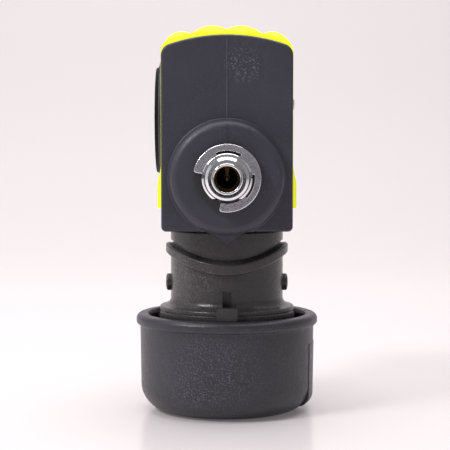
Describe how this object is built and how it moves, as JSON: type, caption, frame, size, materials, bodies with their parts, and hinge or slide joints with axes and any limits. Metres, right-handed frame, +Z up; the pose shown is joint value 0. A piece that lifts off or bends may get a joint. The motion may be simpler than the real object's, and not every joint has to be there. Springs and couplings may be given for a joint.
{
  "type": "in-line air horn",
  "caption": "Diver's in-line air horn: push-button valve housing on a swivelling low-pressure tube, with a downward horn under a pull-off cap.",
  "frame": {"origin": "centre of the cap's flat base, on which the horn stands", "axes": "+Z up along the horn and cap axis; -Y along the air tube, the way the hose nipple points; push button on -X"},
  "size_m": [0.0582, 0.0962, 0.1225],
  "materials": {
    "housing_plastic": "fine matte moulded texture",
    "cap_plastic": "fine matte moulded texture",
    "neck_plastic": "semi-gloss moulded",
    "button_plastic": "soft matte",
    "bell_plastic": "smooth",
    "yellow_grip": "soft matte neon yellow",
    "washer_plastic": "smooth",
    "seal_rubber": "smooth",
    "chrome": "polished plating",
    "clip_steel": "fine brushed",
    "screw_steel": "satin",
    "spring_steel": "drawn wire",
    "brass": "machined"
  },
  "bodies": {
    "housing": {"main_housing": "housing_plastic", "grip_saddle": "yellow_grip", "saddle_screw": "screw_steel", "button_bezel": "housing_plastic", "button_spring": "spring_steel", "poppet_spring": "spring_steel", "valve_cartridge": "brass", "cartridge_orings": "seal_rubber", "stem_oring": "seal_rubber", "horn_neck": "neck_plastic", "neck_band": "neck_plastic", "neck_gasket": "seal_rubber", "neck_screws": "screw_steel", "flange_ring": "neck_plastic", "stop_tabs": "neck_plastic", "bell_screws": "neck_plastic", "diaphragm": "spring_steel", "diaphragm_gasket": "seal_rubber", "diaphragm_clamp": "brass", "horn_bell": "bell_plastic", "bell_oring": "seal_rubber", "cap_oring": "seal_rubber"},
    "button": {"horn_button": "button_plastic", "valve_stem": "screw_steel", "poppet": "brass", "poppet_seal": "seal_rubber"},
    "cap": {"horn_cap": "cap_plastic", "cap_disc": "cap_plastic"},
    "air_tube": {"through_tube": "chrome", "tube_orings": "seal_rubber", "e_clip": "clip_steel", "front_washer": "washer_plastic", "rear_washer": "washer_plastic", "nipple_depressor": "brass", "inlet_filter": "brass", "coupler_body": "chrome", "coupler_oring": "seal_rubber", "sleeve_spring": "spring_steel", "valve_core": "brass", "core_spring": "spring_steel"},
    "sleeve": {"coupler_sleeve": "chrome", "sleeve_snap_ring": "spring_steel"},
    "check_pin": {"core_pin": "brass", "core_seal": "seal_rubber"},
    "ball_1": {"locking_ball_1": "clip_steel"},
    "ball_2": {"locking_ball_2": "clip_steel"},
    "ball_3": {"locking_ball_3": "clip_steel"},
    "ball_4": {"locking_ball_4": "clip_steel"}
  },
  "joints": [
    {"name": "button_press", "type": "slide", "parent": "housing", "child": "button", "axis": [1, 0, 0], "range_m": [0, 0.0026], "stiffness_N_per_m": 900, "springref_m": -0.003, "deforming": ["button_spring", "poppet_spring"]},
    {"name": "cap_pull", "type": "slide", "parent": "housing", "child": "cap", "axis": [0, 0, -1], "range_m": [0, 0.045]},
    {"name": "tube_swivel", "type": "hinge", "parent": "housing", "child": "air_tube", "pos_m": [0, 0, 0.0748], "axis": [0, -1, 0], "continuous": true},
    {"name": "sleeve_pull", "type": "slide", "parent": "air_tube", "child": "sleeve", "axis": [0, -1, 0], "range_m": [0, 0.003], "stiffness_N_per_m": 1500, "springref_m": -0.003, "deforming": ["sleeve_spring"]},
    {"name": "check_pin_press", "type": "slide", "parent": "air_tube", "child": "check_pin", "axis": [0, -1, 0], "range_m": [0, 0.0012], "stiffness_N_per_m": 1000, "springref_m": -0.001, "deforming": ["core_spring"]},
    {"name": "ball_1_release", "type": "slide", "parent": "air_tube", "child": "ball_1", "axis": [0.7071, 0, -0.7071], "range_m": [0, 0.00115]},
    {"name": "ball_2_release", "type": "slide", "parent": "air_tube", "child": "ball_2", "axis": [-0.7071, 0, -0.7071], "range_m": [0, 0.00115]},
    {"name": "ball_3_release", "type": "slide", "parent": "air_tube", "child": "ball_3", "axis": [-0.7071, 0, 0.7071], "range_m": [0, 0.00115]},
    {"name": "ball_4_release", "type": "slide", "parent": "air_tube", "child": "ball_4", "axis": [0.7071, 0, 0.7071], "range_m": [0, 0.00115]}
  ],
  "couplings": [
    {"joint": "ball_1_release", "follows": "sleeve_pull", "ratio": 0.38333},
    {"joint": "ball_2_release", "follows": "sleeve_pull", "ratio": 0.38333},
    {"joint": "ball_3_release", "follows": "sleeve_pull", "ratio": 0.38333},
    {"joint": "ball_4_release", "follows": "sleeve_pull", "ratio": 0.38333}
  ]
}
